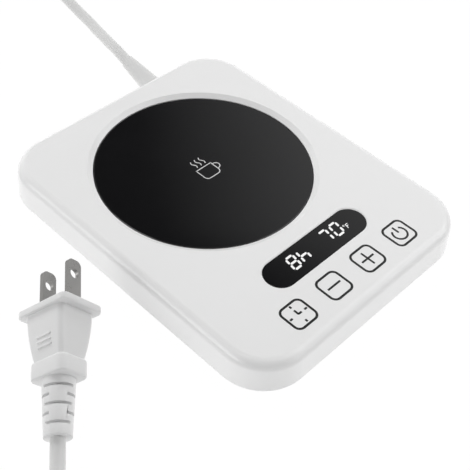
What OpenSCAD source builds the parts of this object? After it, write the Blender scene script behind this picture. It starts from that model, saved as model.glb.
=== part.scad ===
// Electric mug warmer: a thin white base with a round black glass hotplate, a smoked
// display window and four printed touch keys, on a mains cord with a two-blade plug.
// Millimetres. The origin is the centre of the footprint on the table, +X is to the
// right seen from the key side, +Y to the back and +Z up.

/* [Body] */
// Width of the base at its rim
body_w = 120; // [116:1:140]
// Length of the base at its rim, front to back
body_l = 149; // [147:1:170]
// Height of the base without its feet
body_h = 14.5; // [14:0.5:18]
// Radius of the base's corners seen from above
corner_r = 19; // [14:1:24]
// Radius of the rolled top edge
edge_r = 4; // [3:0.5:5]
// Draft of the side walls, in degrees
draft_angle = 3.5; // [0:0.5:5]
// Wall of the moulded shells
wall = 2; // [1.6:0.1:2.2]
// Height of the shadow line between the two shells
plinth_h = 0.8; // [0.5:0.1:1]
// Setback of the shadow line from the side wall
plinth_inset = 0.8; // [0.4:0.1:1.2]
// Play between pieces that drop into each other
play = 0.2; // [0.1:0.05:0.3]

/* [Hotplate] */
// Diameter of the glass disc
glass_d = 90; // [84:1:92]
// Thickness of the glass disc
glass_t = 2.2; // [2:0.1:2.6]
// Distance from the rear rim to the glass
glass_margin = 12.8; // [12:0.2:16]
// Depth of the glass below the rim plane
glass_drop = 1.4; // [0.8:0.1:1.8]
// Width of the sloping ring round the glass
bevel_w = 2.2; // [1.5:0.1:2.6]
// Width of the ledge that carries the glass
ledge_w = 4; // [3.5:0.1:5]
// Thickness of that ledge
ledge_t = 1.6; // [1.4:0.1:2]
// Thickness of the silicone seal under the glass
seal_t = 0.5; // [0.3:0.1:0.8]
// Thickness of the aluminium heat spreader
spreader_t = 1.5; // [1:0.1:1.8]
// Thickness of the foil heater
heater_t = 0.6; // [0.4:0.1:0.8]
// Thickness of the insulating felt
felt_t = 2; // [1.8:0.1:2.2]
// Thickness of the pressed steel retainer
retainer_t = 0.8; // [0.6:0.1:1]
// Diameter of the temperature sensor
sensor_d = 3; // [2.4:0.1:3.4]
// Diameter of the thermal fuse
cutoff_d = 2.8; // [2.4:0.1:3]

/* [Display and keys] */
// Length of the display window
window_l = 53.8; // [50:0.2:60]
// Width of the display window
window_w = 13.6; // [13:0.2:15]
// Thickness of the display window
window_t = 1.2; // [1:0.1:1.5]
// Depth of the window below the rim plane
window_drop = 0.3; // [0.1:0.1:0.4]
// Width of the chamfer round the window
window_bevel = 0.5; // [0.2:0.1:1]
// Overlap of the window on its seat
window_seat = 1.5; // [1:0.1:2]
// Distance from the front rim to the middle of the window
window_front = 30.4; // [29.5:0.1:31]
// Distance from the front rim to the middle of the keys
key_front = 12.9; // [12:0.1:14]
// Spacing of the keys
key_pitch = 19.6; // [19:0.1:20.4]

/* [Circuit board] */
// Width of the board
board_w = 90; // [88:1:92]
// Depth of the board
board_l = 35; // [34:0.5:36]
// Thickness of the board
board_t = 1.2; // [1:0.1:1.6]
// Distance from the front rim to the board
board_front = 4.5; // [4:0.5:5]
// Distance from the ceiling of the shell down to the board
board_drop = 7.4; // [7.2:0.1:7.6]
// Diameter of a touch spring
spring_d = 8; // [6:0.5:9]

/* [Feet and screws] */
// Free height under the base
foot_h = 1.5; // [1:0.1:3]
// Diameter of a rubber foot
foot_d = 12; // [8:0.5:14]
// Depth of the recess that holds a foot
foot_seat = 1; // [0.6:0.1:1.2]
// Distance of a foot from both rims
foot_margin = 14; // [13:0.5:17]
// Diameter of the case screws
case_screw_d = 2.6; // [2.2:0.1:3]
// Distance of the case screws from the side rims
case_screw_margin = 9; // [8:0.5:10]
// Distance of the case screws from the middle, front and back
case_screw_y = 42; // [40:0.5:46]
// Diameter of the small screws inside
small_screw_d = 2; // [1.6:0.1:2.2]

/* [Cord and plug] */
// Diameter of the cord
cord_d = 5.2; // [4.8:0.1:5.4]
// Distance of the cord outlet from the middle of the rear wall
gland_x = 25.5; // [23:0.5:30]
// Height of the cord outlet above the underside of the base
gland_rise = 6.5; // [6.3:0.1:7]
// Diameter of the strain relief at the wall
gland_d = 9.4; // [8.6:0.1:10]
// Diameter of the strain relief at its tip
gland_tip_d = 6.4; // [5.8:0.1:7]
// Length of the leaning part of the strain relief
gland_l = 21.5; // [18:0.5:24]
// Width of a plug blade
blade_w = 6.35; // [6.2:0.05:6.6]
// Thickness of a plug blade
blade_t = 1.5; // [1.4:0.1:1.6]
// Free length of a plug blade
blade_l = 17.5; // [16:0.5:18.5]
// Spacing of the two blades
blade_pitch = 12.7; // [12:0.1:13]
// Width of the plug's flange
flange_w = 24; // [22:0.5:26]
// Depth of the plug's flange
flange_l = 19; // [17:0.5:20]
// Thickness of the plug's flange
flange_t = 2.7; // [2:0.1:3.5]
// Length of the plug's grip
grip_l = 19; // [17:0.5:22]
// Length of the plug's strain relief
relief_l = 20; // [18:0.5:22]

/* [Hidden] */
$fn = 96;
through = 1; // extra length of a cutting shape past the face that it cuts

// Heights, from the table up
z_bottom = foot_h;
z_skirt = z_bottom + plinth_h;
z_cover = z_bottom + wall;
z_top = z_bottom + body_h;
z_ceiling = z_top - wall;
z_edge = z_top - edge_r;

// Heights of the hotplate, from the rim down
z_glass = z_top - glass_drop;
z_spreader = z_glass - glass_t;
z_heater = z_spreader - spreader_t;
z_felt = z_heater - heater_t;
z_retainer = z_felt - felt_t;
z_plate_under = z_retainer - retainer_t;
z_ledge = z_spreader - seal_t;
z_ledge_under = z_ledge - ledge_t;

// Hotplate radii and place
glass_r = glass_d / 2;
well_r = glass_r + play;
opening_r = well_r - ledge_w;
spreader_r = opening_r - 2;
heater_r = spreader_r - 2;
retainer_r = opening_r - 0.8;
glass_y = body_l / 2 - glass_margin - glass_r;
retainer_boss_r = 2.6;
retainer_boss_ring = opening_r + retainer_boss_r + 0.6;
retainer_angles = [90, 210, 330];
sensor_flange_r = sensor_d / 2 + 4.5;
sensor_sleeve_r = sensor_d / 2 + 2.4;
sensor_drop = 1.5;
cutoff_x = 18;
cutoff_y = glass_y - 10;
cutoff_l = 10;
clip_t = 0.4;

// Front panel places
window_y = window_front - body_l / 2;
key_y = key_front - body_l / 2;
key_xs = [for (i = [-1.5 : 1 : 1.5]) i * key_pitch];
window_gap = 0.1;
z_window = z_top - window_drop;

// Board places
z_board = z_ceiling - board_drop;
z_board_under = z_board - board_t;
board_y = board_front - body_l / 2 + board_l / 2;
board_boss_r = 2.4;
board_boss_y = board_l / 2 - 3;
parts_h = 6.8; // tallest part on the board
module_l = window_l - 2 * window_seat - 2;
module_w = window_w - 2 * window_seat - 1;
bay_y = window_y - 4.4;

// Case screws and feet
case_x = body_w / 2 - case_screw_margin;
case_boss_r = 3.2;
case_pad_r = 4.2;
case_pad_h = 1.2;
case_head_r = case_screw_d / 2 + 1.2;
case_head_h = 1.6;
case_head_sink = 0.3;
case_thread_l = 8;
z_pad = z_cover + case_pad_h;
z_case_seat = z_bottom + case_head_sink + case_head_h;
small_head_r = small_screw_d / 2 + 1.1;
small_head_h = 1.2;
small_thread_l = 3;

// Parts on the board: on the left they follow the display, on the right the case boss
can_r = 2.5;
can_gap = 1.2;
core_w = 12;
core_gap = 0.9;
bobbin_l = 13.6;
can_x = -module_l / 2 - can_gap - can_r;
core_x = can_x - can_r - core_gap - core_w / 2;
core_clears_boss = core_w / 2 - core_x < case_x - case_boss_r - play;
core_y = core_clears_boss ? bay_y
    : min(bay_y, -case_screw_y - case_boss_r - play - bobbin_l / 2);
mains_wire_r = 0.9;
mains_rise = 1.1; // the two wires run one above the other
terminal_l = 8;
terminal_gap = 2.6; // from the wires' run to the terminal's face
case_clear = case_boss_r + mains_wire_r + 0.3;
face_x = case_x - case_clear - terminal_gap;
board_boss_x = min(board_w / 2 - 4, case_x - case_clear - mains_wire_r - board_boss_r - play);
terminal_x = face_x - terminal_l / 2;
fuse_cap_r = 2.1;
fuse_gap = 0.8;
fuse_pitch = 8.6; // from the terminal's middle to the fuse's
fuse_x = max(module_l / 2 + fuse_gap + fuse_cap_r, terminal_x - fuse_pitch);

// Feet
foot_x = body_w / 2 - foot_margin;
foot_y = body_l / 2 - foot_margin;

// Cord outlet
gland_z = z_bottom + gland_rise;
gland_wall_y = body_l / 2 + (z_edge - gland_z) * tan(draft_angle);
gland_neck_r = 3.7;
gland_inner_r = 4.2;
gland_inner_l = 1.6;
gland_collar_l = 1.6;
gland_lean = 10; // the soft relief leans with the cord
jacket_end_y = glass_y + 44.3;
clamp_y = jacket_end_y + 5;
clamp_half = 6.5;
clamp_post_r = 2.7;
clamp_w = 6;
clamp_h = 3.5;
clamp_grip = 0.4; // cord space left between the clamp bar and its posts
z_clamp_top = gland_z - clamp_grip;

// Cord: the seen stretch leaves the outlet and crosses the table to the back, the
// rest lies in a coil and round the left side to the plug
cord_r = cord_d / 2;
tip = [gland_x + gland_l * sin(gland_lean),
       gland_wall_y + gland_collar_l + gland_l * cos(gland_lean), gland_z];
gland_dir = [sin(gland_lean), cos(gland_lean), 0];
coil_centre = [-88, 132];
coil_outer_r = 33.5;
coil_inner_r = 21.3;
coil_start = 110;
coil_end = 160 + 4 * 360;
coil_layer = 5.7; // climb from the lower turns to the upper ones
coil_rings = 24; // rings in each loop
coil_lift = 0.02; // keeps the sloping rings off the table
cord_stub = 5.2; // straight end of the coil and of the plug's relief
lead_route = [
    [31.5, 108, 7.8], [33.5, 115.5, 6.7], [36, 123.5, 5.2], [38.5, 132, 3.8],
    [41, 141, 2.9], [42.5, 149, 2.6], [44, 157, 2.6], [45.5, 165.5, 2.6],
    [46.5, 175, 2.6], [45, 185, 2.6], [40, 194.5, 2.6], [31.5, 201.5, 2.6],
    [20.5, 204.5, 2.6], [8, 203, 2.6], [-5, 198.8, 2.6], [-18, 194, 2.6],
    [-34, 188, 2.6], [-50, 182, 2.6], [-66, 176, 2.6], [-82, 170, 2.6]
];
tail_route = [
    [-124, 129.5, 7.4], [-128, 118, 5.2], [-132, 106, 3.3], [-136, 94, 2.6],
    [-141, 79, 2.6], [-146, 63, 2.6], [-151, 47, 2.6], [-156, 31, 2.6],
    [-161, 15, 2.6], [-166, 0, 2.6], [-170, -14, 2.6], [-172, -28, 2.6],
    [-170.5, -42, 2.6], [-163, -55, 2.6], [-150, -61, 2.6], [-136.5, -57.5, 2.6]
];

// Plug: it lies on a corner of its flange, turned a little on its side
plug_place = [-89, -2.3];
plug_heading = 50.2; // direction of the blades, from +X towards +Y
plug_rise = 11; // slope of the plug's axis
plug_roll = -42; // turn about its own axis
flange_corner_r = 2.5;
blade_root = 9;
blade_tip_r = 2.2;
blade_hole_d = 3.8;
blade_hole_z = 12;
grip_top = [18, 16];
grip_end = [13, 11];
ring_w = 16.5;
ring_l = 13.2;
ring_t = 5;
relief_top_r = 5.85;
relief_end_r = 4.8;
relief_core_r = 3.5;
relief_pitch = 6.4;
relief_slot = 1;
relief_turn = 45; // the slots face the grip's corners, not its faces
z_flange_end = -flange_t;
z_grip_end = z_flange_end - grip_l;
z_ring_end = z_grip_end - ring_t;
z_relief_end = z_ring_end - relief_l;
plug_z = ((flange_w / 2 - flange_corner_r) * abs(sin(plug_roll))
          + (flange_l / 2 - flange_corner_r) * cos(plug_roll)
          + flange_corner_r) * cos(plug_rise) + flange_t * sin(plug_rise) + 0.05;
plug_origin = [plug_place.x, plug_place.y, plug_z];
plug_dir = [cos(plug_heading) * cos(plug_rise), sin(plug_heading) * cos(plug_rise),
            sin(plug_rise)];
plug_cord_end = plug_origin + z_relief_end * plug_dir;

// ---- curves and tubes ----

function unit(v) = v / norm(v);

// Point of the coil after turning by the angle a from its start: in, up, and out again
function coil_turns() = (coil_end - coil_start) / 360;
function coil_leg() = (coil_turns() - 0.5) / 2;
function coil_radius(t) =
    t < coil_leg() ? coil_outer_r - (coil_outer_r - coil_inner_r) * t / coil_leg()
    : t > coil_leg() + 0.5
        ? coil_inner_r + (coil_outer_r - coil_inner_r) * (t - coil_leg() - 0.5) / coil_leg()
        : coil_inner_r;
function coil_height(t) =
    cord_r + coil_lift + coil_layer * smooth(min(max((t - coil_leg()) / 0.5, 0), 1));
function smooth(s) = s * s * (3 - 2 * s);
function coil_point(t) =
    let (a = coil_start + 360 * t, r = coil_radius(t))
    [coil_centre.x + r * cos(a), coil_centre.y + r * sin(a), coil_height(t)];
function heading(a) = [-sin(a), cos(a), 0];

coil_steps = ceil(coil_turns() * coil_rings);
coil_in = coil_point(0) - cord_stub * heading(coil_start);
coil_out = coil_point(coil_turns()) + cord_stub * heading(coil_end);
coil_path = concat([coil_in],
    [for (i = [0 : coil_steps]) coil_point(coil_turns() * i / coil_steps)], [coil_out]);
lead_path = concat([tip, tip + cord_stub * gland_dir], lead_route,
    [coil_in - cord_stub * heading(coil_start), coil_in]);
tail_path = concat([coil_out, coil_out + cord_stub * heading(coil_end)], tail_route,
    [plug_cord_end - 2 * cord_stub * plug_dir, plug_cord_end - cord_stub * plug_dir,
     plug_cord_end]);

// Least distance between turns of the coil that are at least a quarter loop apart
function coil_gap() = min([
    for (i = [0 : len(coil_path) - 1], j = [i + coil_rings / 4 : len(coil_path) - 1])
        norm(coil_path[j] - coil_path[i])]) - cord_d;
function path_length(p) = len(p) < 2 ? 0
    : [for (i = 0, s = 0; i < len(p); i = i + 1,
            s = s + (i < len(p) ? norm(p[i] - p[i - 1]) : 0)) s][len(p) - 1];

echo(coil_gap = coil_gap());
echo(cord_length = path_length(lead_path) + path_length(coil_path) + path_length(tail_path));

// Direction of a path at one of its points
function along(p, i) = unit(p[min(i + 1, len(p) - 1)] - p[max(i - 1, 0)]);
function end_along(p, i) =
    i == 0 ? unit(p[1] - p[0]) : i == len(p) - 1 ? unit(p[i] - p[i - 1]) : along(p, i);

// Tube of the given radius along a path that is nowhere vertical
module tube(path, r, sides) {
    rings = len(path);
    points = [
        for (i = [0 : rings - 1])
            let (d = end_along(path, i), side = unit(cross(d, [0, 0, 1])), up = cross(side, d))
            for (k = [0 : sides - 1])
                let (a = 360 * (k + 0.5) / sides)
                path[i] + r * (cos(a) * side + sin(a) * up)
    ];
    skin = [
        for (i = [0 : rings - 2], k = [0 : sides - 1])
            let (a = i * sides + k, b = i * sides + (k + 1) % sides)
            each [[a, a + sides, b], [b, a + sides, b + sides]]
    ];
    first = [for (k = [1 : sides - 2]) [0, k, k + 1]];
    end = (rings - 1) * sides;
    last = [for (k = [1 : sides - 2]) [end, end + k + 1, end + k]];
    polyhedron(points = points, faces = concat(skin, first, last));
}

// ---- shared forms ----

// Rounded rectangle, centred
module rounded_rect(w, l, r) {
    square([w - 2 * r, l], center = true);
    square([w, l - 2 * r], center = true);
    for (x = [-1, 1], y = [-1, 1])
        translate([x * (w / 2 - r), y * (l / 2 - r)]) circle(r);
}

// Slot with round ends, along X
module stadium(l, w) {
    square([l - w, w], center = true);
    for (x = [-1, 1]) translate([x * (l - w) / 2, 0]) circle(w / 2);
}

// Right half of an upright section: a drafted side with a rolled top edge
module side_section(half, z0, z1, edge) {
    zr = z1 - edge;
    polygon([[0, z0], [half + (zr - z0) * tan(draft_angle), z0], [half, zr],
             [half - edge, zr], [half - edge, z1], [0, z1]]);
    translate([half - edge, zr]) circle(edge);
}

module full_section(half, z0, z1, edge) {
    side_section(half, z0, z1, edge);
    mirror([1, 0]) side_section(half, z0, z1, edge);
}

// Drafted block with round corners and a rolled top edge
module moulded_block(w, l, r, z0, z1, edge) {
    rotate([90, 0, 0]) linear_extrude(l - 2 * r, center = true)
        full_section(w / 2, z0, z1, edge);
    rotate([90, 0, 90]) linear_extrude(w - 2 * r, center = true)
        full_section(l / 2, z0, z1, edge);
    for (x = [-1, 1], y = [-1, 1])
        translate([x * (w / 2 - r), y * (l / 2 - r), 0])
            rotate_extrude() side_section(r, z0, z1, edge);
}

module outer_form(z0) {
    moulded_block(body_w, body_l, corner_r, z0, z_top, edge_r);
}

module inner_form(z0) {
    moulded_block(body_w - 2 * wall, body_l - 2 * wall, corner_r - wall, z0, z_ceiling,
                  edge_r - wall);
}

// Cylinder between two heights
module post(r, z0, z1) {
    translate([0, 0, z0]) cylinder(h = z1 - z0, r = r);
}

module at_case_screws() {
    for (x = [-1, 1], y = [-1, 1]) translate([x * case_x, y * case_screw_y, 0]) children();
}

module at_board_screws() {
    for (x = [-1, 1], y = [-1, 1])
        translate([x * board_boss_x, board_y + y * board_boss_y, 0]) children();
}

module at_retainer_screws() {
    for (a = retainer_angles)
        translate([0, glass_y, 0]) rotate(a) translate([retainer_boss_ring, 0, 0]) children();
}

module at_clamp_screws() {
    for (x = [-1, 1]) translate([gland_x + x * clamp_half, clamp_y, 0]) children();
}

module at_feet() {
    for (x = [-1, 1], y = [-1, 1]) translate([x * foot_x, y * foot_y, 0]) children();
}

// Pan-head screw, head down, with its head's seat at the height z
module screw(z, d, head_r, head_h, thread_l) {
    post(head_r, z - head_h, z);
    post(d / 2, z - head_h, z + thread_l);
}

// ---- shells ----

module shell_bosses() {
    at_case_screws() post(case_boss_r, z_pad, z_ceiling + wall / 2);
    at_board_screws() post(board_boss_r, z_board, z_ceiling + wall / 2);
    at_retainer_screws() post(retainer_boss_r, z_retainer, z_ledge_under + ledge_t / 2);
    at_clamp_screws() post(clamp_post_r, z_clamp_top, z_ceiling + wall / 2);
    translate([gland_x - clamp_half, clamp_y - clamp_w / 2, gland_z])
        cube([2 * clamp_half, clamp_w, z_ceiling + wall / 2 - gland_z]);
}

module shell_pilots() {
    at_case_screws() post(case_screw_d / 2, z_pad - through, z_case_seat + case_thread_l);
    at_board_screws() post(small_screw_d / 2, z_board - through, z_board + small_thread_l);
    at_retainer_screws()
        post(small_screw_d / 2, z_retainer - through, z_plate_under + small_thread_l);
    at_clamp_screws()
        post(small_screw_d / 2, z_clamp_top - through, z_clamp_top + small_thread_l);
}

// Notch in the rear wall for the neck of the strain relief
module gland_notch(half, z0) {
    translate([gland_x, gland_wall_y, gland_z]) rotate([90, 0, 0])
        cylinder(h = 3 * wall, r = half, center = true);
    translate([gland_x - half, gland_wall_y - 1.5 * wall, z0])
        cube([2 * half, 3 * wall, gland_z - z0]);
}

// Cut that widens upwards round the window
module window_flare() {
    rise = window_drop + 0.001;
    half = window_w / 2;
    straight = window_l - window_w;
    for (x = [-1, 1]) translate([x * straight / 2, 0, 0])
        cylinder(h = rise, r1 = half, r2 = half + window_bevel);
    rotate([90, 0, 90]) linear_extrude(straight, center = true)
        polygon([[-half, 0], [half, 0], [half + window_bevel, rise],
                 [-half - window_bevel, rise]]);
}

module top_shell() {
    color("white")
    difference() {
        union() {
            difference() {
                outer_form(z_skirt);
                inner_form(z_skirt - through);
            }
            translate([0, glass_y, 0]) post(well_r + wall, z_ledge_under, z_ceiling + wall / 2);
            shell_bosses();
        }
        translate([0, glass_y, 0]) {
            post(well_r, z_ledge, z_top + through);
            post(opening_r, z_ledge_under - through, z_ledge + through);
            translate([0, 0, z_glass])
                cylinder(h = glass_drop + 0.001, r1 = well_r, r2 = well_r + bevel_w);
        }
        translate([0, window_y, z_window - window_t]) linear_extrude(window_t + window_drop)
            stadium(window_l, window_w);
        translate([0, window_y, z_window]) window_flare();
        translate([0, window_y, z_ceiling - through]) linear_extrude(wall + through)
            stadium(window_l - 2 * window_seat, window_w - 2 * window_seat);
        gland_notch(gland_neck_r, z_skirt - through);
        translate([gland_x, clamp_y, gland_z]) rotate([90, 0, 0])
            cylinder(h = clamp_w + through, r = cord_r, center = true);
        shell_pilots();
    }
}

module cover_plate() {
    under = plinth_inset - (z_edge - z_skirt) * tan(draft_angle);
    translate([0, 0, z_bottom]) linear_extrude(plinth_h)
        rounded_rect(body_w - 2 * under, body_l - 2 * under, corner_r - under);
    inset = wall + play - (z_edge - z_cover) * tan(draft_angle);
    translate([0, 0, z_skirt]) linear_extrude(z_cover - z_skirt)
        rounded_rect(body_w - 2 * inset, body_l - 2 * inset, corner_r - inset);
}

// Tongue that closes the notch in the rear wall under the strain relief
module cover_tongue() {
    half = gland_neck_r - play / 2;
    intersection() {
        difference() {
            outer_form(z_skirt);
            inner_form(z_skirt - through);
        }
        translate([gland_x - half, body_l / 2 - 2 * wall, z_skirt])
            cube([2 * half, 4 * wall, gland_z - z_skirt]);
    }
}

module bottom_cover() {
    color("whitesmoke")
    difference() {
        union() {
            cover_plate();
            cover_tongue();
            at_case_screws() post(case_pad_r, z_skirt, z_pad);
        }
        at_case_screws() {
            post(case_head_r + play, z_bottom - through, z_case_seat);
            post(case_screw_d / 2 + play, z_bottom, z_pad + through);
        }
        at_feet() post(foot_d / 2 + play / 2, z_bottom - through, z_bottom + foot_seat);
        translate([gland_x, gland_wall_y, gland_z]) rotate([90, 0, 0])
            cylinder(h = 3 * wall, r = gland_neck_r, center = true);
    }
}

// ---- hotplate ----

module heating_glass() {
    chamfer = 0.4;
    color("black")
    translate([0, glass_y, 0]) rotate_extrude(convexity = 2)
        polygon([[0, z_spreader], [glass_r, z_spreader], [glass_r, z_glass - chamfer],
                 [glass_r - chamfer, z_glass], [0, z_glass]]);
}

// Flat ring between two radii
module washer(inner, outer, z0, z1) {
    difference() {
        post(outer, z0, z1);
        post(inner, z0 - through, z1 + through);
    }
}

module glass_seal() {
    color("dimgray")
    translate([0, glass_y, 0]) washer(opening_r + play, glass_r, z_ledge, z_spreader);
}

module heat_spreader() {
    color("silver")
    translate([0, glass_y, 0]) post(spreader_r, z_heater, z_spreader);
}

// Mica disc with two contact tabs and its etched tracks, one ring inside the other
module heating_element() {
    tab_w = 4;
    tab_x = 6;
    track_t = heater_t / 3;
    track_w = 2.4;
    tracks = 5;
    track_step = (heater_r - sensor_flange_r - 2) / tracks;
    color("goldenrod")
    translate([0, glass_y, 0]) {
        difference() {
            union() {
                post(heater_r, z_felt + track_t, z_heater);
                for (x = [-1, 1])
                    translate([x * tab_x - tab_w / 2, -opening_r + 1.2, z_felt + track_t])
                        cube([tab_w, opening_r / 2, heater_t - track_t]);
            }
            post(sensor_d / 2 + play, z_felt - through, z_heater + through);
        }
        for (i = [0 : tracks - 1])
            let (r = sensor_flange_r + 2 + i * track_step)
            washer(r, r + track_w, z_felt, z_felt + track_t);
    }
}

module heater_insulator() {
    color("lightgray")
    translate([0, glass_y, 0])
        washer(sensor_flange_r + play, spreader_r, z_retainer, z_felt);
}

// Pressed steel plate with three ears and a stiffening bead
module heater_retainer() {
    ear_r = retainer_boss_r + 0.4;
    bead_r = retainer_r * 0.7;
    bead_w = 3;
    color("gainsboro")
    difference() {
        union() {
            translate([0, glass_y, 0]) {
                post(retainer_r, z_plate_under, z_retainer);
                washer(bead_r, bead_r + bead_w, z_plate_under - retainer_t, z_plate_under);
                for (a = retainer_angles) rotate(a)
                    translate([retainer_r - ear_r, -ear_r, z_plate_under])
                        cube([retainer_boss_ring - retainer_r + ear_r, 2 * ear_r, retainer_t]);
            }
            at_retainer_screws() post(ear_r, z_plate_under, z_retainer);
        }
        translate([0, glass_y, 0]) {
            post(sensor_sleeve_r + play / 2, z_plate_under - through, z_retainer + through);
            washer(bead_r + retainer_t, bead_r + bead_w - retainer_t, z_plate_under,
                   z_retainer + through);
        }
        at_retainer_screws()
            post(small_screw_d / 2 + play / 2, z_plate_under - through, z_retainer + through);
    }
}

module retainer_screws() {
    color("silver")
    at_retainer_screws()
        screw(z_plate_under, small_screw_d, small_head_r, small_head_h, small_thread_l);
}

// Silicone bush that presses the sensor against the spreader
module sensor_holder() {
    color("indianred")
    translate([0, glass_y, 0]) difference() {
        union() {
            post(sensor_flange_r, z_retainer, z_felt);
            post(sensor_sleeve_r, z_plate_under - sensor_drop, z_retainer);
        }
        post(sensor_d / 2, z_plate_under + retainer_t / 2, z_felt + through);
    }
}

module temperature_sensor() {
    color("ivory")
    translate([0, glass_y, 0]) post(sensor_d / 2, z_plate_under + retainer_t / 2, z_heater);
}

module along_x(r, l) {
    rotate([0, 90, 0]) cylinder(h = l, r = r, center = true);
}

module along_y(r, l) {
    rotate([90, 0, 0]) cylinder(h = l, r = r, center = true);
}

module thermal_fuse() {
    lead_r = 0.4;
    lead_l = 4;
    color("silver")
    translate([cutoff_x, cutoff_y, z_plate_under - cutoff_d / 2]) {
        along_y(cutoff_d / 2, cutoff_l);
        along_y(lead_r, cutoff_l + 2 * lead_l);
    }
}

// Spring-steel saddle that holds the thermal fuse to the retainer
module fuse_clip() {
    clip_w = 4;
    foot_l = 2.5;
    r = cutoff_d / 2;
    color("gray")
    translate([cutoff_x, cutoff_y, z_plate_under - r]) {
        difference() {
            union() {
                along_y(r + clip_t, clip_w);
                translate([-r - clip_t, -clip_w / 2, 0]) cube([2 * (r + clip_t), clip_w, r]);
                translate([-r - foot_l, -clip_w / 2, r - clip_t])
                    cube([2 * (r + foot_l), clip_w, clip_t]);
            }
            along_y(r, clip_w + through);
            translate([-r, -clip_w, 0]) cube([2 * r, 2 * clip_w, r + through]);
        }
    }
}

// ---- board and its parts ----

module main_board() {
    color("darkgreen")
    difference() {
        translate([0, board_y, z_board_under]) linear_extrude(board_t)
            rounded_rect(board_w, board_l, 2);
        at_board_screws()
            post(small_screw_d / 2 + play / 2, z_board_under - through, z_board + through);
        at_case_screws()
            post(case_boss_r + play, z_board_under - through, z_board + through);
    }
}

// Box that stands on the board, centred on x and y
module on_board(x, y, size) {
    translate([x - size.x / 2, y - size.y / 2, z_board]) cube(size);
}

// Digit block: a frame with four light wells under the window
module display_module() {
    module_h = board_drop - play;
    digits = 4;
    digit_w = 6;
    well_depth = 2;
    color("dimgray")
    difference() {
        on_board(0, window_y, [module_l, module_w, module_h]);
        for (i = [0 : digits - 1])
            translate([(i - (digits - 1) / 2) * module_l / digits - digit_w / 2,
                       window_y - module_w / 2 + 1, z_board + module_h - well_depth])
                cube([digit_w, module_w - 2, well_depth + through]);
    }
}

module display_window() {
    color("#1a1a1a")
    translate([0, window_y, z_window - window_t]) linear_extrude(window_t)
        stadium(window_l - 2 * window_gap, window_w - 2 * window_gap);
}

// Sprung contacts that reach from the board to the underside of each printed key
module touch_springs() {
    wire = 0.6;
    color("gold")
    for (x = key_xs) translate([x, key_y, 0]) {
        washer(spring_d / 2 - wire, spring_d / 2, z_board, z_ceiling - wire);
        post(spring_d / 2, z_ceiling - wire, z_ceiling);
    }
}

module control_chip() {
    chip = [10, 4, 1.5];
    pins = 8;
    pin = [0.5, 6, 0.5];
    color("black") on_board(0, window_y - 9, chip);
    color("silver")
    for (i = [0 : pins - 1])
        on_board((i - (pins - 1) / 2) * chip.x / pins, window_y - 9, pin);
}

module transformer() {
    core = [core_w, core_w, parts_h];
    bobbin = [core_w - 4, bobbin_l, parts_h - 1.2];
    color("darkgoldenrod") {
        on_board(core_x, core_y, core);
        on_board(core_x, core_y, bobbin);
    }
}

module smoothing_capacitor() {
    can_l = 11;
    color("midnightblue")
    translate([can_x, bay_y, z_board + can_r]) along_y(can_r, can_l);
}

module filter_capacitor() {
    color("orange") on_board(0, key_y, [8.5, 6, parts_h]);
}

module heater_triac() {
    color("black") on_board(key_pitch, key_y, [6.6, 6, 2.4]);
    color("silver") on_board(key_pitch, key_y + 3.5, [5.2, 3, 0.8]);
}

module buzzer() {
    color("black")
    translate([-key_pitch, key_y, 0]) difference() {
        post(4.4, z_board, z_board + 5);
        post(1, z_board + 3, z_board + 5 + through);
    }
}

module board_fuse() {
    body_r = fuse_cap_r - 0.3;
    fuse_l = 12;
    cap_l = 3;
    color("silver")
    translate([fuse_x, bay_y, z_board + fuse_cap_r]) {
        along_y(body_r, fuse_l);
        for (y = [-1, 1]) translate([0, y * (fuse_l - cap_l) / 2, 0]) along_y(fuse_cap_r, cap_l);
    }
}

// Two-deck terminal for the mains wires, open towards the side wall
module mains_terminal() {
    color("limegreen")
    difference() {
        on_board(terminal_x, bay_y, [terminal_l, 11, parts_h]);
        for (rise = [-mains_rise, mains_rise])
            translate([face_x, bay_y, mains_z + rise])
                along_x(mains_wire_r, 4);
    }
}

module board_screws() {
    color("silver")
    at_board_screws()
        screw(z_board_under, small_screw_d, small_head_r, small_head_h,
              board_t + small_thread_l);
}

// ---- cord outlet and inner wiring ----

module cord_clamp() {
    bar = [2 * (clamp_half + clamp_post_r), clamp_w, clamp_h];
    color("white")
    difference() {
        translate([gland_x - bar.x / 2, clamp_y - bar.y / 2, z_clamp_top - bar.z]) cube(bar);
        translate([gland_x, clamp_y, gland_z]) along_y(cord_r, bar.y + through);
        at_clamp_screws() {
            post(small_screw_d / 2 + play / 2, z_clamp_top - bar.z - through,
                 z_clamp_top + through);
            post(small_head_r + play / 2, z_clamp_top - bar.z - through,
                 z_clamp_top - bar.z + small_head_h + 0.3);
        }
    }
}

module clamp_screws() {
    seat = z_clamp_top - clamp_h + small_head_h + 0.3;
    color("silver")
    at_clamp_screws()
        screw(seat, small_screw_d, small_head_r, small_head_h,
              z_clamp_top + small_thread_l - seat);
}

mains_z = z_board + parts_h / 2;
side_run_x = body_w / 2 - wall - mains_wire_r - 0.6;

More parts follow.
